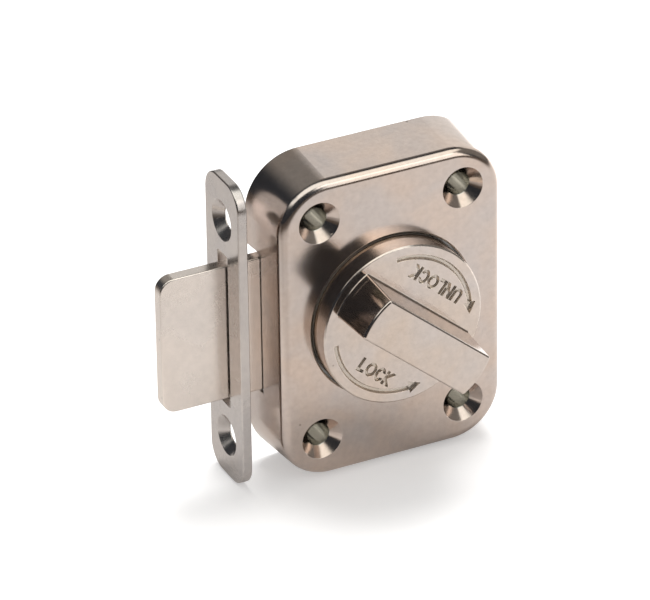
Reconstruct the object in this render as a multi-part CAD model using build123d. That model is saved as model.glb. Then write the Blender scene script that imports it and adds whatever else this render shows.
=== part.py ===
from build123d import *
import math
import os

# Frame, in millimetres: the origin is the centre of the case's back, on the knob's axis.
# +X points away from the bolt, +Z is up, and the knob faces -Y. A depth is a distance
# from the back plane towards the knob, so a point at depth d has y = -d.

# Case: a die-cast box, open at the back, with drafted side walls. Its outside is worked out
# below from what it holds, to 46.3 x 62.7 at the back and 13.0 deep.
case_corner_radius = 10.6
case_draft_deg = 4.0
case_edge_round = 1.7
side_wall = 2.0
front_wall = 2.0
drive_side_play = 2.8
back_boss_play = 0.72
mount_inset_x = 8.65
mount_inset_z = 8.85
mount_hole_radius = 2.25
mount_head_radius = 4.1
mount_boss_wall = 1.6
knob_hole_radius = 16.35
knob_hole_lip = 0.3
notch_side_play = 0.8
notch_front_play = 0.3

# Knob: a disc with a drafted grip bar, cast in one with its hub
knob_gap = 0.35
knob_proud = 4.4
knob_rim_chamfer = 0.25
bar_height = 9.8
bar_base_width = 9.4
bar_side_lean = 0.45
bar_end_inset = 1.65
bar_end_lean = 0.5
bar_edge_round = 0.45
bar_foot_round = 0.25
bar_angle_deg = 40.5
hub_radius = 4.0

# Words and arrows, cast into the knob's face: plain capitals made of strokes, and a curved
# groove that ends in a sunk triangle
letter_height = 2.8
letter_stroke = 0.6
letter_gap = 0.1
letter_depth = 0.5
letter_c_width = 2.1
letter_k_width = 2.0
letter_l_width = 1.7
letter_n_width = 2.1
letter_o_width = 2.4
letter_u_width = 2.0
letter_opening_share = 0.36
lock_word_distance = 10.15
lock_word_shift = 1.25
unlock_word_distance = 9.5
unlock_word_shift = -0.78
arrow_radius = 13.6
arrow_groove_width = 0.95
arrow_floor_width = 0.5
arrow_groove_depth = 0.55
arrow_start_deg = 44.5
arrow_sweep_deg = 90.5
arrow_head_length = 2.4
arrow_head_width = 2.4
arrow_head_depth = 0.65

# Bolt: a flat plate with a taller head, forked for the drive roller
bolt_thickness = 2.5
bolt_corner_radius = 2.8
bolt_edge_round = 0.25
flat_edge_tolerance_deg = 4.0
bolt_back_depth = 2.8
head_step = 2.6
head_near_cheek = 3.0
head_far_cheek = 5.0
yoke_play = 0.65
yoke_floor_play = 0.7

# Stack from the front wall to the back plate
ring_thickness = 0.5
ring_overlap = 2.0
plate_thickness = 1.2
slide_play = 0.05
washer_space = 0.7
rail_front_web = 2.05
rail_play = 0.1
plate_edge_play = 0.25

# Drive: pin, roller and clip
crank_inset = 2.85
pin_radius = 1.25
pin_seat = 2.0
pin_tail = 0.4
pin_chamfer = 0.2
pin_window_play = 0.4
roller_wall = 0.6
roller_bore_play = 0.05
roller_end_play = 0.1
clip_thickness = 0.4
clip_groove_cut = 0.32
clip_play = 0.02
clip_width = 1.15
clip_mouth = 1.5
press_play = 0.02

# Detent: a ball pressed back by a coil spring, and two dimples
ball_radius = 1.25
ball_hole_play = 0.08
ball_inset = 2.35
spring_wire_radius = 0.16
spring_turns = 5
spring_length = 3.4
dimple_radius = 0.9
dimple_depth = 0.35

# Curved spring washer and hub bush
bush_wall = 1.2
washer_inner_play = 0.4
washer_width = 3.0
washer_thickness = 0.3
washer_end_play = 0.03

# Small countersunk screws
small_screw_radius = 1.25
small_head_radius = 2.2
small_thread_play = 0.03
small_head_play = 0.03
small_hole_play = 0.1
small_screw_length = 4.5
small_boss_wall = 0.95
recess_length = 2.2
recess_width = 0.5
recess_depth = 0.6
drive_screw_reach = 5.0
drive_screw_count = 4
retainer_boss_play = 1.02
screw_tip_play = 0.3

# Retainer plate and guide rails
retainer_side_play = 1.0
retainer_corner_radius = 2.0
tab_margin = 2.1
tab_side_play = 2.35
tab_boss_play = 0.47
rail_web = 1.8
rail_boss_play = 0.35
rail_lip = 1.1
rail_end_play = 0.5

# Strike plate, slipped over the bolt
strike_width = 13.7
strike_end = 8.5
strike_thickness = 1.9
strike_corner_radius = 4.5
strike_edge_round = 0.25
strike_head_radius = 4.0
strike_hole_radius = 2.3
strike_slot_gap = 0.85
strike_slot_play = 2.0
strike_slot_corner = 0.5
strike_reach = 13.25
strike_set_back = 0.3

# One overrun for every cut that passes a face
overrun = 1.0

# Worked out: the small screws and their bosses
small_hole_radius = small_screw_radius + small_thread_play
small_boss_radius = small_hole_radius + small_boss_wall
small_head_depth = small_head_radius - small_screw_radius

# Worked out: the stack, as depths from the back plate to the case's front face
cover_back_depth = 0
cover_front_depth = cover_back_depth + plate_thickness
bolt_front_depth = bolt_back_depth + bolt_thickness
retainer_back_depth = bolt_front_depth + rail_front_web
retainer_front_depth = retainer_back_depth + plate_thickness
drive_back_depth = retainer_front_depth + washer_space
drive_front_depth = drive_back_depth + plate_thickness
ring_back_depth = drive_front_depth + slide_play
wall_front_depth = ring_back_depth + ring_thickness
case_depth = wall_front_depth + front_wall

# Worked out: the case round the drive plate and its screws
drive_plate_radius = knob_hole_radius + ring_overlap
case_width = 2 * (drive_plate_radius + drive_side_play + side_wall)
retainer_screw_z = drive_plate_radius + retainer_boss_play + small_boss_radius
back_screw_z = retainer_screw_z + tab_margin + tab_boss_play + small_boss_radius
case_height = 2 * (back_screw_z + small_boss_radius + back_boss_play + side_wall)
draft_rate = math.tan(math.radians(case_draft_deg))
mount_boss_radius = mount_hole_radius + mount_boss_wall
mount_head_depth = mount_head_radius - mount_hole_radius
mount_x = case_width / 2 - mount_inset_x
mount_z = case_height / 2 - mount_inset_z
mount_places = [(sx * mount_x, sz * mount_z) for sx in (-1, 1) for sz in (-1, 1)]
retainer_screw_x = mount_x - mount_boss_radius - tab_side_play - tab_margin

# Worked out: the knob and its drive. The crank pin starts in line with the bar's upper end
# and swings over the top, which draws the bolt in by the throw.
knob_radius = knob_hole_radius - knob_gap
knob_face_depth = case_depth + knob_proud
bar_front_depth = knob_face_depth + bar_height
bar_top_width = bar_base_width - 2 * bar_side_lean
bar_base_radius = knob_radius - bar_end_inset
bar_top_radius = bar_base_radius - bar_end_lean
hub_back_depth = retainer_back_depth + slide_play
locked_deg = 180 - bar_angle_deg
turn_deg = 180 - 2 * bar_angle_deg
letter_widths = {"C": letter_c_width, "K": letter_k_width, "L": letter_l_width,
                 "N": letter_n_width, "O": letter_o_width, "U": letter_u_width}
crank_radius = knob_radius - crank_inset
bolt_throw = 2 * crank_radius * math.cos(math.radians(bar_angle_deg))
drive_screw_orbit = hub_radius + drive_screw_reach
roller_inner_radius = pin_radius + roller_bore_play
roller_radius = roller_inner_radius + roller_wall
clip_groove_radius = pin_radius - clip_groove_cut
clip_radius = clip_groove_radius + clip_width
ball_orbit = crank_radius - ball_inset
ball_depth = retainer_front_depth + press_play + ball_radius
ball_hole_radius = ball_radius + ball_hole_play
spring_back_depth = ball_depth + ball_radius
spring_front_depth = spring_back_depth + spring_length
ball_deg = locked_deg + 180
bush_radius = hub_radius + slide_play + bush_wall

# Worked out: the bolt. Its head fits between the screw bosses, in the guide rails, and the
# yoke is centred on the locked pin.
head_height = 2 * (mount_z - mount_boss_radius - rail_boss_play - rail_web - rail_play)
bolt_height = head_height - 2 * head_step
notch_depth = bolt_front_depth + notch_front_play
notch_half_height = bolt_height / 2 + notch_side_play
yoke_x = -bolt_throw / 2
yoke_half_width = roller_radius + yoke_play
yoke_floor_z = crank_radius * math.sin(math.radians(bar_angle_deg)) - yoke_floor_play
head_near_x = yoke_x - yoke_half_width - head_near_cheek
head_far_x = yoke_x + yoke_half_width + head_far_cheek
wall_x_at_bolt = case_width / 2 - bolt_front_depth * draft_rate
bolt_end_x = -wall_x_at_bolt - bolt_throw

# Worked out: the strike plate, whose screws are as far apart as the case's
strike_height = 2 * (mount_z + strike_end)
strike_slot_width = bolt_thickness + 2 * strike_slot_gap
bolt_mid_depth = bolt_back_depth + bolt_thickness / 2
strike_depth = bolt_mid_depth - strike_set_back
strike_far_x = bolt_end_x + strike_reach
strike_near_x = strike_far_x + strike_thickness
strike_head_depth = strike_head_radius - strike_hole_radius


def plane_at(depth):
    """The plane at a depth, seen from the front: local x is +X, local y is +Z, local z is -Y."""
    return Plane(origin=(0, -depth, 0), x_dir=(1, 0, 0), z_dir=(0, -1, 0))


def slab(outline, back, front):
    """An outline drawn from the front, filled from one depth to another."""
    return extrude(plane_at(back) * outline, amount=front - back)


def disc(radius, back, front, place=(0, 0)):
    return slab(Pos(*place) * Circle(radius), back, front)


def polar(radius, angle_deg):
    """A place on a circle round the knob's axis."""
    angle = math.radians(angle_deg)
    return (radius * math.cos(angle), radius * math.sin(angle))


def taper(back_radius, front_radius, back, front, place=(0, 0)):
    """A cone frustum between two depths."""
    x, z = place
    seat = (Align.CENTER, Align.CENTER, Align.MIN)
    return plane_at(back) * Pos(x, z) * Cone(back_radius, front_radius, front - back, align=seat)


def back_countersink(radius, head, depth, place):
    """The cut for a screw put in from the back, whose head is flush at a depth."""
    cut = taper(head, radius, depth, depth + head - radius, place)
    return cut + disc(head, depth - overrun, depth, place)


def small_screw(place, head_depth):
    """A countersunk screw put in from the back, with a cross recess."""
    body = taper(small_head_radius - small_head_play, small_screw_radius, head_depth,
                 head_depth + small_head_depth - small_head_play, place)
    body += disc(small_screw_radius, head_depth + small_head_depth - small_head_play,
                 head_depth + small_screw_length, place)
    for angle in (0, 90):
        bar = Pos(*place) * Rot(0, 0, angle) * Rectangle(recess_length, recess_width)
        body -= slab(bar, head_depth - overrun, head_depth + recess_depth)
    return body


def make_case():
    outline = RectangleRounded(case_width, case_height, case_corner_radius)
    body = extrude(plane_at(0) * outline, amount=case_depth, taper=case_draft_deg)
    front_edges = body.faces().sort_by(Axis.Y)[0].edges()
    body = fillet(front_edges, case_edge_round)
    room = RectangleRounded(case_width - 2 * side_wall, case_height - 2 * side_wall,
                            case_corner_radius - side_wall)
    body -= extrude(plane_at(0) * room, amount=wall_front_depth, taper=case_draft_deg)
    for place in mount_places:
        body += disc(mount_boss_radius, 0, wall_front_depth, place)
    for place in retainer_screw_places():
        body += disc(small_boss_radius, retainer_front_depth, wall_front_depth, place)
    for place in back_screw_places():
        body += disc(small_boss_radius, cover_front_depth, wall_front_depth, place)
    for place in mount_places:
        body -= disc(mount_hole_radius, -overrun, case_depth + overrun, place)
        body -= taper(mount_hole_radius, mount_head_radius, case_depth - mount_head_depth,
                      case_depth, place)
    for place in retainer_screw_places():
        tip = retainer_back_depth + small_screw_length + screw_tip_play
        body -= disc(small_hole_radius, retainer_front_depth - overrun, tip, place)
    for place in back_screw_places():
        tip = cover_back_depth + small_screw_length + screw_tip_play
        body -= disc(small_hole_radius, cover_front_depth - overrun, tip, place)
    body -= disc(knob_hole_radius, wall_front_depth - overrun, case_depth + overrun)
    lip_back = case_depth - knob_hole_lip
    body -= taper(knob_hole_radius, knob_hole_radius + knob_hole_lip, lip_back, case_depth)
    notch_x = case_width / 2 - side_wall / 2
    notch_width = side_wall + 2 * overrun
    notch = Pos(-notch_x, 0) * Rectangle(notch_width, 2 * notch_half_height)
    body -= slab(notch, -overrun, notch_depth)
    return body


def retainer_screw_places():
    return [(sx * retainer_screw_x, sz * retainer_screw_z) for sx in (-1, 1) for sz in (-1, 1)]


def back_screw_places():
    return [(0, sz * back_screw_z) for sz in (-1, 1)]


def drive_screw_places():
    step = 360 / drive_screw_count
    return [polar(drive_screw_orbit, locked_deg + (k + 1 / 2) * step) for k in range(drive_screw_count)]


def letter_line(start, end):
    """A straight stroke of a letter between two points."""
    (x, y), (end_x, end_y) = start, end
    turn = math.degrees(math.atan2(end_y - y, end_x - x))
    line = Rectangle(math.hypot(end_x - x, end_y - y), letter_stroke)
    return Pos((x + end_x) / 2, (y + end_y) / 2) * Rot(0, 0, turn) * line


def letter_ring(width, height):
    """A round stroke of a letter, whose outside is this wide and high."""
    inner = Ellipse(width / 2 - letter_stroke, height / 2 - letter_stroke)
    return Ellipse(width / 2, height / 2) - inner


def letter_shape(letter):
    """A capital letter, centred on the origin."""
    width = letter_widths[letter]
    right = (width - letter_stroke) / 2
    top = letter_height / 2
    low = (letter_stroke - letter_height) / 2
    stem = letter_line((-right, -top), (-right, top))
    if letter == "L":
        return stem + letter_line((-width / 2, low), (width / 2, low))
    if letter == "K":
        arm = letter_line((-right, 0), (3 * right, 2 * top))
        leg = letter_line((-right, 0), (3 * right, -2 * top))
        return stem + (arm + leg) & Rectangle(width, letter_height)
    if letter == "N":
        other = letter_line((right, -top), (right, top))
        slope = letter_line((-right, top), (right, -top))
        return stem + other + slope & Rectangle(width, letter_height)
    if letter == "U":
        bend = width / 2 - top
        ring = Pos(0, bend) * letter_ring(width, width)
        ring -= Pos(0, bend + width / 2) * Rectangle(2 * width, width)
        stem = letter_line((-right, bend), (-right, top))
        return ring + stem + letter_line((right, bend), (right, top))
    ring = letter_ring(width, letter_height)
    if letter == "C":
        ring -= Pos(width / 2, 0) * Rectangle(width, letter_height * letter_opening_share)
    return ring


def word_shape(word, distance, shift):
    """A word read with its foot away from the knob's axis, at a distance and shifted along itself."""
    length = sum(letter_widths[letter] for letter in word) + letter_gap * (len(word) - 1)
    x = shift - length / 2
    shape = Sketch()
    for letter in word:
        width = letter_widths[letter]
        shape += Pos(x + width / 2, -distance) * letter_shape(letter)
        x += width + letter_gap
    return shape


def sunk_words():
    """The cuts for the two words, one on each side of the bar."""
    lock = word_shape("LOCK", lock_word_distance, lock_word_shift)
    unlock = word_shape("UNLOCK", unlock_word_distance, unlock_word_shift)
    words = Rot(0, 0, -bar_angle_deg) * lock + Rot(0, 0, locked_deg) * unlock
    return extrude(plane_at(knob_face_depth - letter_depth) * words, amount=letter_depth + overrun)


def sunk_arrow(turn):
    """The cut for one arrow round the rim; turn is 1 or -1, its way round from the bar's upper end."""
    first_deg = locked_deg + turn * arrow_start_deg
    last_deg = first_deg + turn * arrow_sweep_deg
    top, floor = arrow_groove_width / 2, arrow_floor_width / 2
    face, bottom = -knob_face_depth, arrow_groove_depth - knob_face_depth
    profile = [(arrow_radius - top, face - overrun), (arrow_radius - top, face),
               (arrow_radius - floor, bottom), (arrow_radius + floor, bottom),
               (arrow_radius + top, face), (arrow_radius + top, face - overrun)]
    section = make_face(Polyline(*profile, close=True))
    low_deg = min(first_deg, last_deg)
    groove = Rot(0, -low_deg, 0) * revolve(section, axis=Axis.Y, revolution_arc=-arrow_sweep_deg)
    tip_deg = last_deg + turn * math.degrees(arrow_head_length / arrow_radius)
    back, tip = polar(arrow_radius, last_deg), polar(arrow_radius, tip_deg)
    side = arrow_head_width / 2 / math.dist(back, tip)
    across = ((tip[1] - back[1]) * side, (back[0] - tip[0]) * side)
    corners = [(back[0] + across[0], back[1] + across[1]), tip, (back[0] - across[0], back[1] - across[1])]
    head = make_face(Polyline(*corners, close=True))
    return groove + extrude(plane_at(knob_face_depth - arrow_head_depth) * head,
                            amount=arrow_head_depth + overrun)


def make_knob():
    body = disc(knob_radius, drive_front_depth, knob_face_depth)
    rim = body.faces().sort_by(Axis.Y)[0].edges()
    body = chamfer(rim, knob_rim_chamfer)
    length = 2 * knob_radius
    side_draft = math.degrees(math.atan((bar_base_width - bar_top_width) / 2 / bar_height))
    base = Rot(0, 0, -bar_angle_deg) * Rectangle(length, bar_base_width)
    bar = extrude(plane_at(knob_face_depth) * base, amount=bar_height, taper=side_draft)
    bar &= taper(bar_base_radius, bar_top_radius, knob_face_depth, bar_front_depth)
    back_face = bar.faces().sort_by(Axis.Y)[-1]
    back_edges = back_face.edges()
    bar = fillet([e for e in bar.edges() if e not in back_edges], bar_edge_round)
    body += bar
    on_face = body.edges().filter_by_position(Axis.Y, -knob_face_depth, -knob_face_depth)
    foot = on_face.sort_by(SortBy.LENGTH)[:-1]
    body = fillet(foot, bar_foot_round)
    body -= sunk_words()
    for turn in (-1, 1):
        body -= sunk_arrow(turn)
    body += disc(hub_radius, hub_back_depth, drive_front_depth)
    crank = polar(crank_radius, locked_deg)
    body -= disc(pin_radius + press_play, drive_front_depth - overrun,
                 drive_front_depth + pin_seat, crank)
    body -= disc(ball_hole_radius, drive_front_depth - overrun, spring_front_depth + slide_play,
                 polar(ball_orbit, ball_deg))
    tip = drive_back_depth + small_screw_length + screw_tip_play
    for place in drive_screw_places():
        body -= disc(small_hole_radius, drive_front_depth - overrun, tip, place)
    return body


def make_drive_plate():
    body = disc(drive_plate_radius, drive_back_depth, drive_front_depth)
    body -= disc(hub_radius + press_play, drive_back_depth - overrun, drive_front_depth + overrun)
    body -= disc(pin_radius + press_play, drive_back_depth - overrun, drive_front_depth + overrun,
                 polar(crank_radius, locked_deg))
    body -= disc(ball_hole_radius, drive_back_depth - overrun, drive_front_depth + overrun,
                 polar(ball_orbit, ball_deg))
    for place in drive_screw_places():
        body -= disc(small_screw_radius + small_hole_play, drive_back_depth - overrun,
                     drive_front_depth + overrun, place)
        body -= back_countersink(small_screw_radius, small_head_radius, drive_back_depth, place)
    return body


def make_drive_pin():
    crank = polar(crank_radius, locked_deg)
    clip_back = clip_back_depth() - clip_play
    clip_front = clip_back + clip_thickness + 2 * clip_play
    tail = clip_back - pin_tail
    body = disc(pin_radius, tail, drive_front_depth + pin_seat, crank)
    ends = body.edges().filter_by(GeomType.CIRCLE)
    body = chamfer(ends, pin_chamfer)
    groove = disc(pin_radius + overrun, clip_back, clip_front, crank)
    groove -= disc(clip_groove_radius, clip_back, clip_front, crank)
    return body - groove


def clip_back_depth():
    """The clip sits just behind the roller, whose back is level with the bolt's."""
    return bolt_back_depth - slide_play - roller_end_play / 2 - clip_thickness


def make_drive_roller():
    crank = polar(crank_radius, locked_deg)
    back = bolt_back_depth - slide_play
    front = retainer_back_depth - roller_end_play
    return disc(roller_radius, back, front, crank) - disc(roller_inner_radius, back, front, crank)


def make_roller_clip():
    crank = polar(crank_radius, locked_deg)
    back = clip_back_depth()
    front = back + clip_thickness
    body = disc(clip_radius, back, front, crank)
    body -= disc(clip_groove_radius + clip_play, back, front, crank)
    mouth = Pos(*crank) * Pos(0, clip_radius / 2) * Rectangle(clip_mouth, clip_radius)
    return body - slab(mouth, back - overrun, front + overrun)


def make_detent_ball():
    x, z = polar(ball_orbit, ball_deg)
    return Pos(x, -ball_depth, z) * Sphere(ball_radius)


def make_detent_spring():
    x, z = polar(ball_orbit, ball_deg)
    coil_radius = ball_radius - spring_wire_radius
    rise = spring_length - 2 * spring_wire_radius
    path = Helix(pitch=rise / spring_turns, height=rise, radius=coil_radius)
    start = Plane(origin=path @ 0, z_dir=path % 0)
    coil = sweep(start * Circle(spring_wire_radius), path=path)
    return plane_at(spring_back_depth + spring_wire_radius) * Pos(x, z) * coil


def make_friction_ring():
    body = disc(drive_plate_radius, ring_back_depth, wall_front_depth)
    return body - disc(knob_hole_radius, ring_back_depth, wall_front_depth)


def make_hub_bush():
    body = disc(bush_radius, retainer_back_depth, retainer_front_depth)
    return body - disc(hub_radius + slide_play, retainer_back_depth, retainer_front_depth)


def make_spring_washer():
    """A ring cut from a thin curved strip, so that it touches at two places on each side."""
    inner = hub_radius + washer_inner_play
    outer = inner + washer_width
    bow = washer_space - 2 * washer_end_play - washer_thickness
    bend = (outer ** 2 + bow ** 2) / (2 * bow)
    back = retainer_front_depth + washer_end_play
    axis_depth = back + bow - bend
    strip = Pos(0, -axis_depth, 0) * Cylinder(bend + washer_thickness, 2 * outer)
    strip -= Pos(0, -axis_depth, 0) * Cylinder(bend, 2 * outer)
    ring = disc(outer, retainer_front_depth, drive_back_depth)
    ring -= disc(inner, retainer_front_depth, drive_back_depth)
    return ring & strip


def make_retainer_plate():
    half_inside = case_width / 2 - side_wall - retainer_front_depth * draft_rate
    boss_edge = mount_z - mount_boss_radius
    width = 2 * (half_inside - retainer_side_play)
    height = 2 * (boss_edge - plate_edge_play)
    outline = RectangleRounded(width, height, retainer_corner_radius)
    outline += RectangleRounded(2 * (retainer_screw_x + tab_margin), 2 * (retainer_screw_z + tab_margin),
                                retainer_corner_radius)
    body = slab(outline, retainer_back_depth, retainer_front_depth)
    body -= disc(bush_radius + press_play, retainer_back_depth - overrun, retainer_front_depth + overrun)
    swing = CenterArc((0, 0), crank_radius, bar_angle_deg, turn_deg)
    window = SlotArc(swing, 2 * (pin_radius + pin_window_play))
    body -= slab(window, retainer_back_depth - overrun, retainer_front_depth + overrun)
    for angle in (ball_deg, ball_deg - turn_deg):
        body -= taper(0, dimple_radius, retainer_front_depth - dimple_depth, retainer_front_depth,
                      polar(ball_orbit, angle))
    for place in retainer_screw_places():
        body -= disc(small_screw_radius + small_hole_play, retainer_back_depth - overrun,
                     retainer_front_depth + overrun, place)
        body -= back_countersink(small_screw_radius, small_head_radius, retainer_back_depth, place)
    return body


def make_guide_rail(side):
    """A channel that holds one edge of the bolt's head; side is 1 for the top, -1 for the bottom."""
    head_edge = head_height / 2 + rail_play
    half_inside = case_width / 2 - side_wall - retainer_back_depth * draft_rate
    length = 2 * (half_inside - rail_end_play)
    back = cover_front_depth + slide_play
    front = retainer_back_depth - slide_play
    low = head_edge - rail_lip
    high = head_edge + rail_web
    block = Pos(0, side * (low + high) / 2) * Rectangle(length, high - low)
    groove = Pos(0, side * (low + head_edge) / 2) * Rectangle(length, head_edge - low)
    body = slab(block, back, front)
    return body - slab(groove, bolt_back_depth - rail_play, bolt_front_depth + rail_play)


def make_bolt():
    blade_middle = (bolt_end_x + head_far_x) / 2
    blade = Pos(blade_middle, 0) * Rectangle(head_far_x - bolt_end_x, bolt_height)
    free_corners = blade.vertices().sort_by(Axis.X)[:2]
    outline = fillet(free_corners, bolt_corner_radius)
    outline += Pos((head_near_x + head_far_x) / 2, 0) * Rectangle(head_far_x - head_near_x, head_height)
    yoke_top = head_height / 2 + overrun
    yoke_middle = (yoke_floor_z + yoke_top) / 2
    outline -= Pos(yoke_x, yoke_middle) * Rectangle(2 * yoke_half_width, yoke_top - yoke_floor_z)
    outline -= Pos(yoke_x, yoke_floor_z) * Circle(yoke_half_width)
    body = slab(outline, bolt_back_depth, bolt_front_depth)
    flat_sine = math.sin(math.radians(flat_edge_tolerance_deg))
    blade_edges = [e for e in body.edges() if e.center().X < head_near_x and not e.is_interior
                   and abs(e.tangent_at(1 / 2).Y) < flat_sine]
    return fillet(blade_edges, bolt_edge_round)


def make_back_plate():
    half_width = case_width / 2 - side_wall - cover_front_depth * draft_rate - plate_edge_play
    half_height = case_height / 2 - side_wall - cover_front_depth * draft_rate - plate_edge_play
    corner = case_corner_radius - side_wall - cover_front_depth * draft_rate - plate_edge_play
    outline = RectangleRounded(2 * half_width, 2 * half_height, corner)
    body = slab(outline, cover_back_depth, cover_front_depth)
    for place in mount_places:
        body -= disc(mount_boss_radius + plate_edge_play, cover_back_depth - overrun,
                     cover_front_depth + overrun, place)
    for place in back_screw_places():
        body -= disc(small_screw_radius + small_hole_play, cover_back_depth - overrun,
                     cover_front_depth + overrun, place)
        body -= back_countersink(small_screw_radius, small_head_radius, cover_back_depth, place)
    return body


def make_strike_plate():
    face = Plane(origin=(strike_near_x, -strike_depth, 0), x_dir=(0, -1, 0), z_dir=(-1, 0, 0))
    outline = RectangleRounded(strike_width, strike_height, strike_corner_radius)
    body = extrude(face * outline, amount=strike_thickness)
    flat_sine = math.sin(math.radians(flat_edge_tolerance_deg))
    rim = [e for e in body.edges() if abs(e.tangent_at(1 / 2).X) < flat_sine]
    body = fillet(rim, strike_edge_round)
    slot = RectangleRounded(strike_slot_width, bolt_height + 2 * strike_slot_play, strike_slot_corner)
    body -= extrude(face * slot, amount=strike_thickness + overrun)
    seat = (Align.CENTER, Align.CENTER, Align.MIN)
    for side in (-1, 1):
        centre = face * Pos(0, side * mount_z)
        body -= centre * Pos(0, 0, -overrun) * Cylinder(
            strike_hole_radius, strike_thickness + 2 * overrun, align=seat)
        head = Cone(strike_hole_radius, strike_head_radius, strike_head_depth, align=seat)
        body -= centre * Pos(0, 0, strike_thickness - strike_head_depth) * head
    return body


def screws_at(places, head_depth):
    return Compound(children=[small_screw(place, head_depth) for place in places])


os.makedirs("parts", exist_ok=True)
export_step(make_case(), "parts/case.step")
export_step(make_knob(), "parts/knob.step")
export_step(make_drive_plate(), "parts/drive_plate.step")
export_step(screws_at(drive_screw_places(), drive_back_depth), "parts/drive_plate_screws.step")
export_step(make_drive_pin(), "parts/drive_pin.step")
export_step(make_drive_roller(), "parts/drive_roller.step")
export_step(make_roller_clip(), "parts/roller_clip.step")
export_step(make_detent_ball(), "parts/detent_ball.step")
export_step(make_detent_spring(), "parts/detent_spring.step")
export_step(make_friction_ring(), "parts/friction_ring.step")
export_step(make_hub_bush(), "parts/hub_bush.step")
export_step(make_spring_washer(), "parts/spring_washer.step")
export_step(make_retainer_plate(), "parts/retainer_plate.step")
export_step(screws_at(retainer_screw_places(), retainer_back_depth), "parts/retainer_screws.step")
export_step(make_guide_rail(1), "parts/guide_rail_top.step")
export_step(make_guide_rail(-1), "parts/guide_rail_bottom.step")
export_step(make_bolt(), "parts/bolt.step")
export_step(make_back_plate(), "parts/back_plate.step")
export_step(screws_at(back_screw_places(), cover_back_depth), "parts/back_plate_screws.step")
export_step(make_strike_plate(), "parts/strike_plate.step")
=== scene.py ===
import math

import bpy
from mathutils import Matrix, Vector


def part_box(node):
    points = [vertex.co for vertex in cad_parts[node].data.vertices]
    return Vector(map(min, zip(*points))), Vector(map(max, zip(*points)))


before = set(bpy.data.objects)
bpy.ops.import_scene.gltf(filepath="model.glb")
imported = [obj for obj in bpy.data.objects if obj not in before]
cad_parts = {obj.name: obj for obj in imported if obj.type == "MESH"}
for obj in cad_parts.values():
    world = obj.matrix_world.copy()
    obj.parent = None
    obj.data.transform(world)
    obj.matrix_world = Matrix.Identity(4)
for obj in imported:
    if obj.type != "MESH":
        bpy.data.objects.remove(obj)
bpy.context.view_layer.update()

MM = 0.001
bpy.ops.object.select_all(action="DESELECT")


# Case: the die-cast zinc box that is screwed to the door, plated in satin nickel. The
# plating is cloudy, has a fine grain with no direction, and is rubbed brighter along its
# edges. A few casting pits show in it. Its corners hold dust and painted shade, and the gap
# round the knob has painted shade; both are a dull dust colour that is not metal.
CASE_WARM = (0.635, 0.515, 0.44)
CASE_COOL = (0.60, 0.525, 0.485)
CASE_EDGE = (0.80, 0.72, 0.65)
CASE_ROUGHNESS = (0.13, 0.20)
CASE_HOLES = {"Across": 14.5 * MM, "Up": 22.5 * MM, "Radius": 2.26 * MM}
BORE_COLOUR = (0.52, 0.50, 0.45)
# The dull colour of the dust and painted shade in corners, and of the painted shade in the gap round
# the knob.
DUST_AND_SHADE_COLOUR = (0.46, 0.41, 0.33)
# Where the gap round the knob, on the case and on the knob, gets painted shade.
KNOB_GAP = {"Inner": 15.6 * MM, "Outer": 16.8 * MM, "Face": -13.0 * MM, "Top": 0.0,
            "Bottom": 0.25 * MM, "Least": 1.0}
# A pit's colour as a share of the metal's own, and its depth as a multiple of the grain's.
PIT_SHADE = 0.25
PIT_DEPTH = 6.0


def group_tree(name, inputs, outputs):
    """An empty shader node group with named inputs and outputs, and its two end nodes."""
    tree = bpy.data.node_groups.new(name, "ShaderNodeTree")
    for label, kind, value in inputs:
        socket = tree.interface.new_socket(label, in_out="INPUT", socket_type=kind)
        socket.default_value = value
    for label, kind in outputs:
        tree.interface.new_socket(label, in_out="OUTPUT", socket_type=kind)
    return tree, tree.nodes.new("NodeGroupInput"), tree.nodes.new("NodeGroupOutput")


def set_input(tree, socket, value):
    """Feeds an input from an output socket, or sets it to a number, a vector or a colour tuple."""
    if isinstance(value, bpy.types.NodeSocket):
        tree.links.new(value, socket)
    elif isinstance(value, tuple):
        socket.default_value = (*value, 1.0)
    else:
        socket.default_value = value


def add_noise(tree, vector, scale, detail=3.0, roughness=0.55, distortion=0.0):
    """A noise texture read at a vector; scale is a number or an output socket."""
    noise = tree.nodes.new("ShaderNodeTexNoise")
    noise.inputs["Detail"].default_value = detail
    noise.inputs["Roughness"].default_value = roughness
    noise.inputs["Distortion"].default_value = distortion
    tree.links.new(vector, noise.inputs["Vector"])
    set_input(tree, noise.inputs["Scale"], scale)
    return noise.outputs["Fac"]


def map_range(tree, value, from_low, from_high, to_low=0.0, to_high=1.0):
    """A clamped map range; each end is a number or an output socket."""
    node = tree.nodes.new("ShaderNodeMapRange")
    tree.links.new(value, node.inputs["Value"])
    ends = (("From Min", from_low), ("From Max", from_high), ("To Min", to_low), ("To Max", to_high))
    for label, end in ends:
        set_input(tree, node.inputs[label], end)
    return node.outputs["Result"]


def combine(tree, operation, first, second=0.0):
    """A math node on one or two values; each is a number or an output socket."""
    node = tree.nodes.new("ShaderNodeMath")
    node.operation = operation
    for socket, value in zip(node.inputs, (first, second)):
        set_input(tree, socket, value)
    return node.outputs[0]


def product(tree, first, *others):
    """The product of two or more values."""
    for other in others:
        first = combine(tree, "MULTIPLY", first, other)
    return first


def blend_colour(tree, mask, first, second):
    """A colour that goes from the first to the second with a mask."""
    node = tree.nodes.new("ShaderNodeMix")
    node.data_type = "RGBA"
    tree.links.new(mask, node.inputs["Factor"])
    for label, value in (("A", first), ("B", second)):
        set_input(tree, next(s for s in node.inputs if s.name == label and s.type == "RGBA"), value)
    return next(s for s in node.outputs if s.type == "RGBA")


def dot_product(tree, first, second):
    """How far the first vector goes along the second."""
    node = tree.nodes.new("ShaderNodeVectorMath")
    node.operation = "DOT_PRODUCT"
    tree.links.new(first, node.inputs[0])
    tree.links.new(second, node.inputs[1])
    return node.outputs["Value"]


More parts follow.
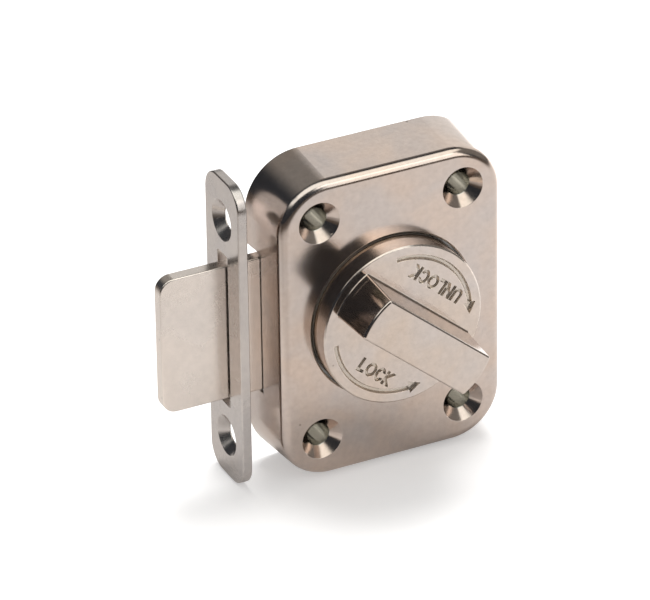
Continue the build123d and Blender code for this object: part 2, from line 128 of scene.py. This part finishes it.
def split_axes(tree, vector):
    """The X, Y and Z of a vector."""
    split = tree.nodes.new("ShaderNodeSeparateXYZ")
    tree.links.new(vector, split.inputs["Vector"])
    return split.outputs


def distance_from(tree, across, up):
    """The distance to a point this far across and this far up."""
    squares = [product(tree, side, side) for side in (across, up)]
    return combine(tree, "SQRT", combine(tree, "ADD", *squares))


def rounded_normal(tree, radius, samples):
    """The normal that the surface has if its sharp edges are rounded to a radius."""
    rounded = tree.nodes.new("ShaderNodeBevel")
    rounded.samples = samples
    set_input(tree, rounded.inputs["Radius"], radius)
    return rounded.outputs["Normal"]


def make_plating_clouds():
    """Broad cloudiness in the plating, and a finer mottle over it."""
    broad_noise = {"detail": 3.0, "roughness": 0.5, "distortion": 0.4}
    broad_limits = (0.34, 0.66)
    fine_noise = {"detail": 4.0, "roughness": 0.7}
    fine_limits = (0.30, 0.72)
    tree, start, end = group_tree(
        "plating_clouds",
        [("Vector", "NodeSocketVector", (0, 0, 0)), ("Warm", "NodeSocketColor", (1, 1, 1, 1)),
         ("Cool", "NodeSocketColor", (1, 1, 1, 1)), ("Cloud Scale", "NodeSocketFloat", 90.0),
         ("Mottle Scale", "NodeSocketFloat", 900.0), ("Mottle", "NodeSocketFloat", 0.1)],
        [("Colour", "NodeSocketColor"), ("Cloud", "NodeSocketFloat")],
    )
    broad = add_noise(tree, start.outputs["Vector"], start.outputs["Cloud Scale"], **broad_noise)
    fine = add_noise(tree, start.outputs["Vector"], start.outputs["Mottle Scale"], **fine_noise)
    cloud = map_range(tree, broad, *broad_limits)
    loss = product(tree, map_range(tree, fine, *fine_limits), start.outputs["Mottle"])
    darker = tree.nodes.new("ShaderNodeVectorMath")
    darker.operation = "SCALE"
    colour = blend_colour(tree, cloud, start.outputs["Warm"], start.outputs["Cool"])
    tree.links.new(colour, darker.inputs[0])
    tree.links.new(combine(tree, "SUBTRACT", 1.0, loss), darker.inputs["Scale"])
    tree.links.new(darker.outputs["Vector"], end.inputs["Colour"])
    tree.links.new(cloud, end.inputs["Cloud"])
    return tree


def make_satin_grain():
    """The fine grain of a blasted and plated face: roughness and height."""
    grain_noise = {"detail": 2.0, "roughness": 0.6}
    cloud_share, grain_share = 0.6, 0.4
    limits = (0.1, 0.9)
    tree, start, end = group_tree(
        "satin_grain",
        [("Vector", "NodeSocketVector", (0, 0, 0)), ("Grain Scale", "NodeSocketFloat", 5200.0),
         ("Rough Low", "NodeSocketFloat", 0.22), ("Rough High", "NodeSocketFloat", 0.32),
         ("Cloud", "NodeSocketFloat", 0.5)],
        [("Roughness", "NodeSocketFloat"), ("Height", "NodeSocketFloat")],
    )
    grain = add_noise(tree, start.outputs["Vector"], start.outputs["Grain Scale"], **grain_noise)
    both = combine(tree, "ADD", product(tree, start.outputs["Cloud"], cloud_share),
                   product(tree, grain, grain_share))
    rough = map_range(tree, both, *limits, start.outputs["Rough Low"], start.outputs["Rough High"])
    tree.links.new(rough, end.inputs["Roughness"])
    tree.links.new(grain, end.inputs["Height"])
    return tree


def make_casting_pits():
    """Small scattered pits, dark and sunk; the mask is 1 in a pit."""
    tree, start, end = group_tree(
        "casting_pits",
        [("Vector", "NodeSocketVector", (0, 0, 0)), ("Pit Scale", "NodeSocketFloat", 420.0),
         ("Pit Size", "NodeSocketFloat", 0.12), ("Share", "NodeSocketFloat", 0.04)],
        [("Pit", "NodeSocketFloat")],
    )
    cells = tree.nodes.new("ShaderNodeTexVoronoi")
    tree.links.new(start.outputs["Vector"], cells.inputs["Vector"])
    tree.links.new(start.outputs["Pit Scale"], cells.inputs["Scale"])
    dot = map_range(tree, cells.outputs["Distance"], start.outputs["Pit Size"], 0.0)
    draw = tree.nodes.new("ShaderNodeSeparateColor")
    tree.links.new(cells.outputs["Color"], draw.inputs["Color"])
    chosen = combine(tree, "LESS_THAN", draw.outputs["Red"], start.outputs["Share"])
    tree.links.new(product(tree, dot, chosen), end.inputs["Pit"])
    return tree


def make_edge_wear():
    """How much a corner is rubbed: the angle between the face and its rounded stand-in."""
    reach, samples = 0.35 * MM, 4
    bend_limits = (0.995, 0.85)
    uneven_scale, uneven_limits = 700.0, (0.35, 0.6)
    tree, start, end = group_tree(
        "edge_wear",
        [("Vector", "NodeSocketVector", (0, 0, 0)), ("Strength", "NodeSocketFloat", 0.5)],
        [("Wear", "NodeSocketFloat")],
    )
    flat = tree.nodes.new("ShaderNodeNewGeometry").outputs["Normal"]
    bend = map_range(tree, dot_product(tree, rounded_normal(tree, reach, samples), flat), *bend_limits)
    uneven = map_range(tree, add_noise(tree, start.outputs["Vector"], uneven_scale), *uneven_limits)
    tree.links.new(product(tree, bend, uneven, start.outputs["Strength"]), end.inputs["Wear"])
    return tree


def make_soft_edges():
    """The normal of a surface whose sharp edges are a little rounded, as plated castings are."""
    samples = 6
    tree, start, end = group_tree(
        "soft_edges",
        [("Vector", "NodeSocketVector", (0, 0, 0)), ("Radius", "NodeSocketFloat", 0.13 * MM)],
        [("Normal", "NodeSocketVector")],
    )
    tree.links.new(rounded_normal(tree, start.outputs["Radius"], samples), end.inputs["Normal"])
    return tree


def make_crevice():
    """Where one surface meets another in a corner, read from ambient occlusion, so it follows where
    shade falls: 1 in the corner, 0 in the open.
    """
    samples = 8
    closed_limits = (0.92, 0.45)
    uneven_scale, uneven_limits, least = 900.0, (0.3, 0.7), 0.75
    tree, start, end = group_tree(
        "crevice",
        [("Vector", "NodeSocketVector", (0, 0, 0)), ("Reach", "NodeSocketFloat", 0.35 * MM)],
        [("Crevice", "NodeSocketFloat")],
    )
    shade = tree.nodes.new("ShaderNodeAmbientOcclusion")
    shade.samples = samples
    tree.links.new(start.outputs["Reach"], shade.inputs["Distance"])
    closed = map_range(tree, shade.outputs["AO"], *closed_limits)
    uneven = add_noise(tree, start.outputs["Vector"], uneven_scale)
    uneven = map_range(tree, uneven, *uneven_limits, least, 1.0)
    tree.links.new(product(tree, closed, uneven), end.inputs["Crevice"])
    return tree


def make_screw_bores():
    """1 inside the four screw holes, where the plating is thin and dull."""
    margin = 1.07
    tree, start, end = group_tree(
        "screw_bores",
        [("Vector", "NodeSocketVector", (0, 0, 0)), ("Across", "NodeSocketFloat", 0.0),
         ("Up", "NodeSocketFloat", 0.0), ("Radius", "NodeSocketFloat", 1.0 * MM)],
        [("Inside", "NodeSocketFloat")],
    )
    axes = split_axes(tree, start.outputs["Vector"])
    away = [combine(tree, "SUBTRACT", combine(tree, "ABSOLUTE", axes[axis]), start.outputs[label])
            for axis, label in (("X", "Across"), ("Z", "Up"))]
    limit = product(tree, start.outputs["Radius"], margin)
    inside = map_range(tree, distance_from(tree, *away), limit, start.outputs["Radius"])
    tree.links.new(inside, end.inputs["Inside"])
    return tree


def make_sunk_ring():
    """What is sunk below a face, in a ring round the knob's axis. The mask is 0 down to the
    depth Top and full from the depth Bottom, and its unevenness leaves at least Least of it."""
    uneven_scale, uneven_limits = 1500.0, (0.3, 0.7)
    tree, start, end = group_tree(
        "sunk_ring",
        [("Vector", "NodeSocketVector", (0, 0, 0)), ("Inner", "NodeSocketFloat", 0.0),
         ("Outer", "NodeSocketFloat", 1.0 * MM), ("Face", "NodeSocketFloat", 0.0),
         ("Top", "NodeSocketFloat", 0.0), ("Bottom", "NodeSocketFloat", 1.0 * MM),
         ("Least", "NodeSocketFloat", 1.0)],
        [("Inside", "NodeSocketFloat")],
    )
    axes = split_axes(tree, start.outputs["Vector"])
    radius = distance_from(tree, axes["X"], axes["Z"])
    outside_inner = combine(tree, "GREATER_THAN", radius, start.outputs["Inner"])
    inside_outer = combine(tree, "LESS_THAN", radius, start.outputs["Outer"])
    below = combine(tree, "SUBTRACT", axes["Y"], start.outputs["Face"])
    deep = map_range(tree, below, start.outputs["Top"], start.outputs["Bottom"])
    uneven = add_noise(tree, start.outputs["Vector"], uneven_scale)
    uneven = map_range(tree, uneven, *uneven_limits, start.outputs["Least"], 1.0)
    inside = product(tree, outside_inner, inside_outer, deep, uneven)
    tree.links.new(inside, end.inputs["Inside"])
    return tree


plating_clouds = make_plating_clouds()
satin_grain = make_satin_grain()
casting_pits = make_casting_pits()
edge_wear = make_edge_wear()
crevice = make_crevice()
soft_edges = make_soft_edges()
screw_bores = make_screw_bores()
sunk_ring = make_sunk_ring()


def place_group(tree, group, vector, values):
    """Puts a node group in a tree, reads it at a vector and sets its other inputs."""
    node = tree.nodes.new("ShaderNodeGroup")
    node.node_tree = group
    tree.links.new(vector, node.inputs["Vector"])
    for label, value in values.items():
        set_input(tree, node.inputs[label], value)
    return node


def new_material(name):
    """A material with its node tree, its shader and the object coordinates to read patterns at."""
    material = bpy.data.materials.new(name)
    material.use_nodes = True
    tree = material.node_tree
    place = tree.nodes.new("ShaderNodeTexCoord")
    return material, tree, tree.nodes["Principled BSDF"], place.outputs["Object"]


def add_bump(tree, shader, height, distance):
    """Bumps the shader's normal by a height; distance is how far a height of 1 stands out."""
    bump = tree.nodes.new("ShaderNodeBump")
    bump.inputs["Distance"].default_value = distance
    tree.links.new(height, bump.inputs["Height"])
    tree.links.new(bump.outputs["Normal"], shader.inputs["Normal"])
    return bump


def make_metal(name, warm, cool, edge, roughness, cloud_scale=90.0, mottle_scale=900.0, mottle=0.1,
               grain_height=0.004 * MM, pit_share=0.04, wear=0.5, dust_and_shade_in_corners=0.5, gap_shade=0.0,
               edge_radius=0.13 * MM, marks=None, bores=None):
    """A metal finish: clouds and grain in the plating, pits, rubbed edges, dust and painted shade in
    corners, and, if asked, painted shade in the gap round the knob.
    marks holds a sunk ring's inputs, its dust and its colour, and bores the screw bores' inputs."""
    material, tree, shader, vector = new_material(name)
    clouds = place_group(tree, plating_clouds, vector, {
        "Warm": warm, "Cool": cool, "Cloud Scale": cloud_scale, "Mottle Scale": mottle_scale,
        "Mottle": mottle})
    grain = place_group(tree, satin_grain, vector, {
        "Rough Low": roughness[0], "Rough High": roughness[1], "Cloud": clouds.outputs["Cloud"]})
    pits = place_group(tree, casting_pits, vector, {"Share": pit_share})
    worn = place_group(tree, edge_wear, vector, {"Strength": wear})
    colour = blend_colour(tree, worn.outputs["Wear"], clouds.outputs["Colour"], edge)
    # Dust and painted shade: corners found by ambient occlusion are darkened towards a dull colour that
    # is not metal.
    corner = place_group(tree, crevice, vector, {})
    dust_and_shade = product(tree, corner.outputs["Crevice"], dust_and_shade_in_corners)
    # Painted shade in the gap between the knob and the case's hole, in the same dull colour.
    if gap_shade:
        gap = place_group(tree, sunk_ring, vector, KNOB_GAP)
        dust_and_shade = combine(tree, "MAXIMUM", dust_and_shade, product(tree, gap.outputs["Inside"], gap_shade))
    dull = dust_and_shade
    if marks:
        mark_place, mark_dust, mark_colour = marks
        marked = place_group(tree, sunk_ring, vector, mark_place)
        in_marks = product(tree, marked.outputs["Inside"], mark_dust)
        colour = blend_colour(tree, in_marks, colour, mark_colour)
        dull = combine(tree, "MAXIMUM", dust_and_shade, in_marks)
    pit_colour = tuple(PIT_SHADE * value for value in warm)
    colour = blend_colour(tree, pits.outputs["Pit"], colour, pit_colour)
    colour = blend_colour(tree, dust_and_shade, colour, DUST_AND_SHADE_COLOUR)
    if bores:
        bored = place_group(tree, screw_bores, vector, bores)
        colour = blend_colour(tree, bored.outputs["Inside"], colour, BORE_COLOUR)
    tree.links.new(colour, shader.inputs["Base Color"])
    tree.links.new(combine(tree, "SUBTRACT", 1.0, dull), shader.inputs["Metallic"])
    tree.links.new(grain.outputs["Roughness"], shader.inputs["Roughness"])
    sunk = product(tree, pits.outputs["Pit"], PIT_DEPTH)
    height = combine(tree, "SUBTRACT", grain.outputs["Height"], sunk)
    bump = add_bump(tree, shader, height, grain_height)
    edges = place_group(tree, soft_edges, vector, {"Radius": edge_radius})
    tree.links.new(edges.outputs["Normal"], bump.inputs["Normal"])
    return material


def finish_nodes(material, *names):
    """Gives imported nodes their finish."""
    for name in names:
        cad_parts[name].material_slots[0].material = material


satin_nickel = make_metal("satin_nickel_plate", warm=CASE_WARM, cool=CASE_COOL, edge=CASE_EDGE,
                          roughness=CASE_ROUGHNESS, mottle=0.13, gap_shade=0.5, bores=CASE_HOLES)
finish_nodes(satin_nickel, "case")


# Knob: the turning disc with its grip bar, die-cast in one and plated like the case. Its
# words and arrows are cast into the face, and dust has settled in them.
MARK_PLACE = {"Inner": 0.0, "Outer": 15.4 * MM, "Face": -17.4 * MM, "Top": 0.03 * MM,
              "Bottom": 0.2 * MM, "Least": 0.6}
MARK_DUST = 0.5
MARK_COLOUR = (0.66, 0.59, 0.49)

nickel_knob = make_metal("satin_nickel_on_knob", warm=(0.665, 0.555, 0.475), cool=(0.64, 0.57, 0.53),
                         edge=(0.92, 0.82, 0.70), roughness=(0.11, 0.17), mottle=0.14,
                         grain_height=0.0003 * MM, wear=0.9, dust_and_shade_in_corners=0.3, gap_shade=0.5,
                         edge_radius=0.18 * MM, marks=(MARK_PLACE, MARK_DUST, MARK_COLOUR))
finish_nodes(nickel_knob, "knob")


# Friction ring and guide rails: moulded black acetal, a slightly waxy plastic. The ring
# lies between the front wall and the drive plate, and the bolt's head runs in the rails.
ACETAL = (0.018, 0.017, 0.016)
ACETAL_SHINE = (0.028, 0.027, 0.025)
ACETAL_CLOUDS = {"Cloud Scale": 260.0, "Mottle": 0.2}
ACETAL_GRAIN = {"Grain Scale": 6000.0, "Rough Low": 0.5, "Rough High": 0.62}
ACETAL_GRAIN_HEIGHT = 0.005 * MM


def make_acetal():
    """A moulded plastic finish: dark, faintly cloudy, with a fine grain."""
    material, tree, shader, vector = new_material("black_acetal_moulding")
    clouds = place_group(tree, plating_clouds, vector, {
        "Warm": ACETAL, "Cool": ACETAL_SHINE, **ACETAL_CLOUDS})
    grain = place_group(tree, satin_grain, vector, {**ACETAL_GRAIN, "Cloud": clouds.outputs["Cloud"]})
    tree.links.new(clouds.outputs["Colour"], shader.inputs["Base Color"])
    tree.links.new(grain.outputs["Roughness"], shader.inputs["Roughness"])
    add_bump(tree, shader, grain.outputs["Height"], ACETAL_GRAIN_HEIGHT)
    return material


finish_nodes(make_acetal(), "friction_ring", "guide_rail_top", "guide_rail_bottom")


# Hub bush and drive roller: turned brass, dulled where oil has sat on it. The knob's hub
# turns in the bush, and the roller turns on the crank pin, in the bolt's fork.
brass = make_metal("turned_brass", warm=(0.78, 0.56, 0.25), cool=(0.70, 0.50, 0.24),
                   edge=(0.86, 0.68, 0.36), roughness=(0.2, 0.3), cloud_scale=300.0, pit_share=0.0)
finish_nodes(brass, "hub_bush", "drive_roller")


# Spring washer, clip, detent ball and spring: oiled spring steel, blue-grey and fairly
# smooth. The washer takes up rattle, the clip holds the roller on its pin, and the ball
# and its spring hold the knob at each end of its turn.
spring_steel = make_metal("oiled_spring_steel", warm=(0.36, 0.37, 0.39), cool=(0.30, 0.31, 0.34),
                          edge=(0.5, 0.5, 0.52), roughness=(0.2, 0.3), cloud_scale=350.0, pit_share=0.0)
finish_nodes(spring_steel, "spring_washer", "roller_clip", "detent_ball", "detent_spring")


# Plates, pin and screws inside, and the cover over the back: pressed and turned steel in
# bright zinc plate, held by small countersunk screws.
zinc_steel = make_metal("zinc_plated_steel", warm=(0.60, 0.61, 0.62), cool=(0.52, 0.54, 0.57),
                        edge=(0.72, 0.72, 0.72), roughness=(0.26, 0.38), cloud_scale=160.0,
                        mottle=0.2, pit_share=0.03)
finish_nodes(zinc_steel, "drive_plate", "drive_plate_screws", "drive_pin", "retainer_plate",
             "retainer_screws", "back_plate", "back_plate_screws")


# Bolt: flat steel with a rounded edge, nickel plated, lighter and cloudier than the case.
# It slides between the guide rails and out through the slot in the case's side.
nickel_bolt = make_metal("nickel_plate_on_bolt", warm=(0.87, 0.775, 0.70), cool=(0.83, 0.755, 0.70),
                         edge=(0.95, 0.88, 0.80), roughness=(0.22, 0.30), cloud_scale=70.0,
                         mottle_scale=700.0, wear=0.9, pit_share=0.12)
finish_nodes(nickel_bolt, "bolt")


# Strike plate: pressed steel, nickel plated, the greyest of the four plated pieces. It
# hangs loose on the bolt here, and in use it is screwed to the door frame.
nickel_strike = make_metal("nickel_plate_on_strike", warm=(0.605, 0.55, 0.515), cool=(0.58, 0.54, 0.52),
                           edge=(0.88, 0.82, 0.75), roughness=(0.22, 0.32), mottle=0.12, wear=0.8)
finish_nodes(nickel_strike, "strike_plate")


# Floor: a pale table top, which keeps the latch's shadow. Metal sees a sheet of it that
# ends in front and on the left, with painted shade beyond its ends and painted shade that
# makes it greyer towards the left. For metal it also glows with painted light just in
# front of the latch and, more strongly, behind it on the right.
FLOOR_SIZE = 3.0
FLOOR_ROUGHNESS = 0.9
FLOOR_PALE = (0.86, 0.85, 0.84)
# Painted shade: the floor's colour towards the left, seen only by metal.
FLOOR_SHADE_LEFT = (0.67, 0.65, 0.63)
# Painted shade: the floor's colour beyond the sheet, seen only by metal.
FLOOR_DARK = (0.12, 0.10, 0.085)
CAMERA_LIFT = 0.35
# Each pair is where an effect starts and where it is full, along X or Y.
SHEET_FRONT = (-0.19, -0.13)
SHEET_LEFT = (-0.21, -0.07)
DIM_LEFT = (0.055, -0.03)
# The painted glow just in front of the latch:
NEAR_FRONT = (-0.065, -0.020)
NEAR_BACK = (0.0, -0.012)
NEAR_RIGHT = (0.022, -0.012)
NEAR_STRENGTH = 0.24
# The painted glow behind the latch on the right:
GLOW_RIGHT = (0.035, 0.12)
GLOW_BEHIND = (-0.04, 0.06)
GLOW_STRENGTH = 0.9

floor_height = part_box("case")[0].z
bpy.ops.mesh.primitive_plane_add(size=FLOOR_SIZE, location=(0, 0, floor_height))
floor = bpy.context.object
floor.name = "floor"
floor_finish, floor_tree, floor_shader, floor_place = new_material("pale_table")
floor_axes = split_axes(floor_tree, floor_place)
floor_paths = floor_tree.nodes.new("ShaderNodeLightPath")
mirrored = floor_paths.outputs["Is Glossy Ray"]


def floor_mask(axis, pair):
    """A mask along one of the floor's axes, from where it starts to where it is full."""
    return map_range(floor_tree, floor_axes[axis], *pair)


sheet = product(floor_tree, floor_mask("Y", SHEET_FRONT), floor_mask("X", SHEET_LEFT))
# Painted shade for metal: the floor greys towards the left.
dim = product(floor_tree, mirrored, floor_mask("X", DIM_LEFT))
# Painted shade for metal: the floor is dark beyond the sheet.
painted_dark_beyond = product(floor_tree, mirrored, combine(floor_tree, "SUBTRACT", 1.0, sheet))
floor_colour = blend_colour(floor_tree, dim, FLOOR_PALE, FLOOR_SHADE_LEFT)
floor_colour = blend_colour(floor_tree, painted_dark_beyond, floor_colour, FLOOR_DARK)
# Painted light for metal: the floor glows behind on the right and just in front of the latch.
behind = product(floor_tree, floor_mask("X", GLOW_RIGHT), floor_mask("Y", GLOW_BEHIND), GLOW_STRENGTH)
near = product(floor_tree, floor_mask("Y", NEAR_FRONT), floor_mask("Y", NEAR_BACK),
               floor_mask("X", NEAR_RIGHT), NEAR_STRENGTH)
glow = product(floor_tree, combine(floor_tree, "ADD", behind, near), mirrored)
lift = product(floor_tree, floor_paths.outputs["Is Camera Ray"], CAMERA_LIFT)
floor_shader.inputs["Roughness"].default_value = FLOOR_ROUGHNESS
floor_shader.inputs["Specular IOR Level"].default_value = 0.0
floor_shader.inputs["Emission Color"].default_value = (1, 1, 1, 1)
floor_tree.links.new(floor_colour, floor_shader.inputs["Base Color"])
floor_tree.links.new(combine(floor_tree, "ADD", lift, glow), floor_shader.inputs["Emission Strength"])
floor.data.materials.append(floor_finish)


# Light: plain light all round, one soft lamp above, and a dim room with soft boxes, which
# only the metal sees. A box has its centre's direction and the one that it faces, each as a
# heading and an elevation in degrees, and its half width and half height at unit distance.
ROOM = (0.034, 0.039, 0.047)
BOXES = (
    # name, centre, facing, half width, half height, softness, brightness
    ("room_right", (78, 25), (78, 25), 0.55, 0.50, 0.25, (0.24, 0.235, 0.225)),
    ("room_behind", (178, 42), (178, 42), 0.45, 0.40, 0.25, (0.30, 0.29, 0.27)),
    ("left_window", (-80, 42), (-80, 42), 0.38, 0.13, 0.08, (1.45, 1.48, 1.42)),
    ("overhead_box", (-8.5, 68), (0, 90), 0.80, 0.50, 0.14, (1.62, 1.65, 1.57)),
    ("front_strip", (28, 14), (28, 14), 0.155, 0.52, 0.05, (1.75, 1.75, 1.70)),
    ("strip_top", (20, 36), (20, 36), 0.20, 0.13, 0.06, (2.4, 2.4, 2.3)),
    ("backdrop", (131, 7), (131, 7), 0.46, 0.70, 0.12, (1.08, 1.08, 1.06)),
)
PLAIN_LIGHT = (0.58, 0.58, 0.58)
WHITE = (1.0, 1.0, 1.0)
KEY_PLACE = (0.15, 0.2, 0.8)
KEY_WIDTH = 0.5
KEY_DEPTH = 0.4
KEY_POWER = 6.2


def heading_vector(heading, elevation):
    """A direction from the latch. Heading 0 is in front of the knob, 90 is +X."""
    h, e = math.radians(heading), math.radians(elevation)
    return Vector((math.sin(h) * math.cos(e), -math.cos(h) * math.cos(e), math.sin(e)))


def make_soft_box():
    """A mask that is 1 on a soft-edged rectangle seen from the latch."""
    least_ahead = 0.02
    tree, start, end = group_tree(
        "soft_box",
        [("Vector", "NodeSocketVector", (0, 0, 0)), ("Facing", "NodeSocketVector", (0, 0, 1)),
         ("Right", "NodeSocketVector", (1, 0, 0)), ("Up", "NodeSocketVector", (0, 1, 0)),
         ("Right Offset", "NodeSocketFloat", 0.0), ("Up Offset", "NodeSocketFloat", 0.0),
         ("Half Width", "NodeSocketFloat", 1.0), ("Half Height", "NodeSocketFloat", 1.0),
         ("Softness", "NodeSocketFloat", 0.1)],
        [("Mask", "NodeSocketFloat")],
    )
    ahead = dot_product(tree, start.outputs["Vector"], start.outputs["Facing"])
    mask = combine(tree, "GREATER_THAN", ahead, least_ahead)
    ahead = combine(tree, "MAXIMUM", ahead, least_ahead)
    for label, half in (("Right", "Half Width"), ("Up", "Half Height")):
        along = dot_product(tree, start.outputs["Vector"], start.outputs[label])
        ratio = combine(tree, "DIVIDE", along, ahead)
        offset = combine(tree, "SUBTRACT", ratio, start.outputs[label + " Offset"])
        side = tree.nodes.new("ShaderNodeMapRange")
        side.interpolation_type = "SMOOTHSTEP"
        tree.links.new(combine(tree, "ABSOLUTE", offset), side.inputs["Value"])
        for limit, operation in (("From Min", "ADD"), ("From Max", "SUBTRACT")):
            edge = combine(tree, operation, start.outputs[half], start.outputs["Softness"])
            tree.links.new(edge, side.inputs[limit])
        mask = product(tree, mask, side.outputs["Result"])
    tree.links.new(mask, end.inputs["Mask"])
    return tree


soft_box = make_soft_box()
world = bpy.data.worlds.new("studio")
bpy.context.scene.world = world
world.use_nodes = True
studio = world.node_tree
direction = studio.nodes.new("ShaderNodeTexCoord").outputs["Generated"]
seen = ROOM
for name, centre, facing, half_width, half_height, softness, brightness in BOXES:
    normal = heading_vector(*facing)
    right = Vector((0, 0, 1)).cross(-heading_vector(centre[0], 0)).normalized()
    upward = right.cross(-normal).normalized()
    middle = heading_vector(*centre)
    box = place_group(studio, soft_box, direction, {
        "Facing": normal, "Right": right, "Up": upward,
        "Right Offset": middle.dot(right) / middle.dot(normal),
        "Up Offset": middle.dot(upward) / middle.dot(normal),
        "Half Width": half_width, "Half Height": half_height, "Softness": softness})
    box.label = name
    seen = blend_colour(studio, box.outputs["Mask"], seen, brightness)
studio_paths = studio.nodes.new("ShaderNodeLightPath")
plain = blend_colour(studio, studio_paths.outputs["Is Glossy Ray"], PLAIN_LIGHT, seen)
shown = blend_colour(studio, studio_paths.outputs["Is Camera Ray"], plain, WHITE)
studio.links.new(shown, studio.nodes["Background"].inputs["Color"])

bpy.ops.object.light_add(type="AREA", location=KEY_PLACE)
key = bpy.context.object
key.name = "soft_key"
key.data.shape = "RECTANGLE"
key.data.size = KEY_WIDTH
key.data.size_y = KEY_DEPTH
key.data.energy = KEY_POWER
key.visible_glossy = False
key.rotation_euler = (-key.location).to_track_quat("-Z", "Y").to_euler()


# Camera: at the photograph's viewing angle, with a long lens, for a 650 by 600 picture.
# It aims a few millimetres to the left of the latch's origin and below it.
PICTURE_WIDTH = 650
CAMERA_AZIMUTH = math.radians(-25.959)
CAMERA_ELEVATION = math.radians(29.698)
CAMERA_ROLL = math.radians(-0.822)
CAMERA_DISTANCE = 1.08498
CAMERA_REACH = (0.05, 20)
FOCAL_PIXELS = 5901.6
AIM_RIGHT = -6.484 * MM
AIM_UP = -3.202 * MM

towards = Vector((math.sin(CAMERA_AZIMUTH) * math.cos(CAMERA_ELEVATION),
                  -math.cos(CAMERA_AZIMUTH) * math.cos(CAMERA_ELEVATION), math.sin(CAMERA_ELEVATION)))
level = Vector((math.cos(CAMERA_AZIMUTH), math.sin(CAMERA_AZIMUTH), 0))
above = towards.cross(level)
camera_right = level * math.cos(CAMERA_ROLL) + above * math.sin(CAMERA_ROLL)
camera_up = above * math.cos(CAMERA_ROLL) - level * math.sin(CAMERA_ROLL)
spot = camera_right * AIM_RIGHT + camera_up * AIM_UP + towards * CAMERA_DISTANCE
turn = Matrix((camera_right, camera_up, towards)).transposed().to_4x4()
camera_data = bpy.data.cameras.new("camera")
camera_data.lens = FOCAL_PIXELS / PICTURE_WIDTH * camera_data.sensor_width
camera_data.clip_start, camera_data.clip_end = CAMERA_REACH
camera = bpy.data.objects.new("camera", camera_data)
camera.matrix_world = Matrix.Translation(spot) @ turn
bpy.context.scene.collection.objects.link(camera)
bpy.context.scene.camera = camera
bpy.context.scene.view_settings.view_transform = "Standard"
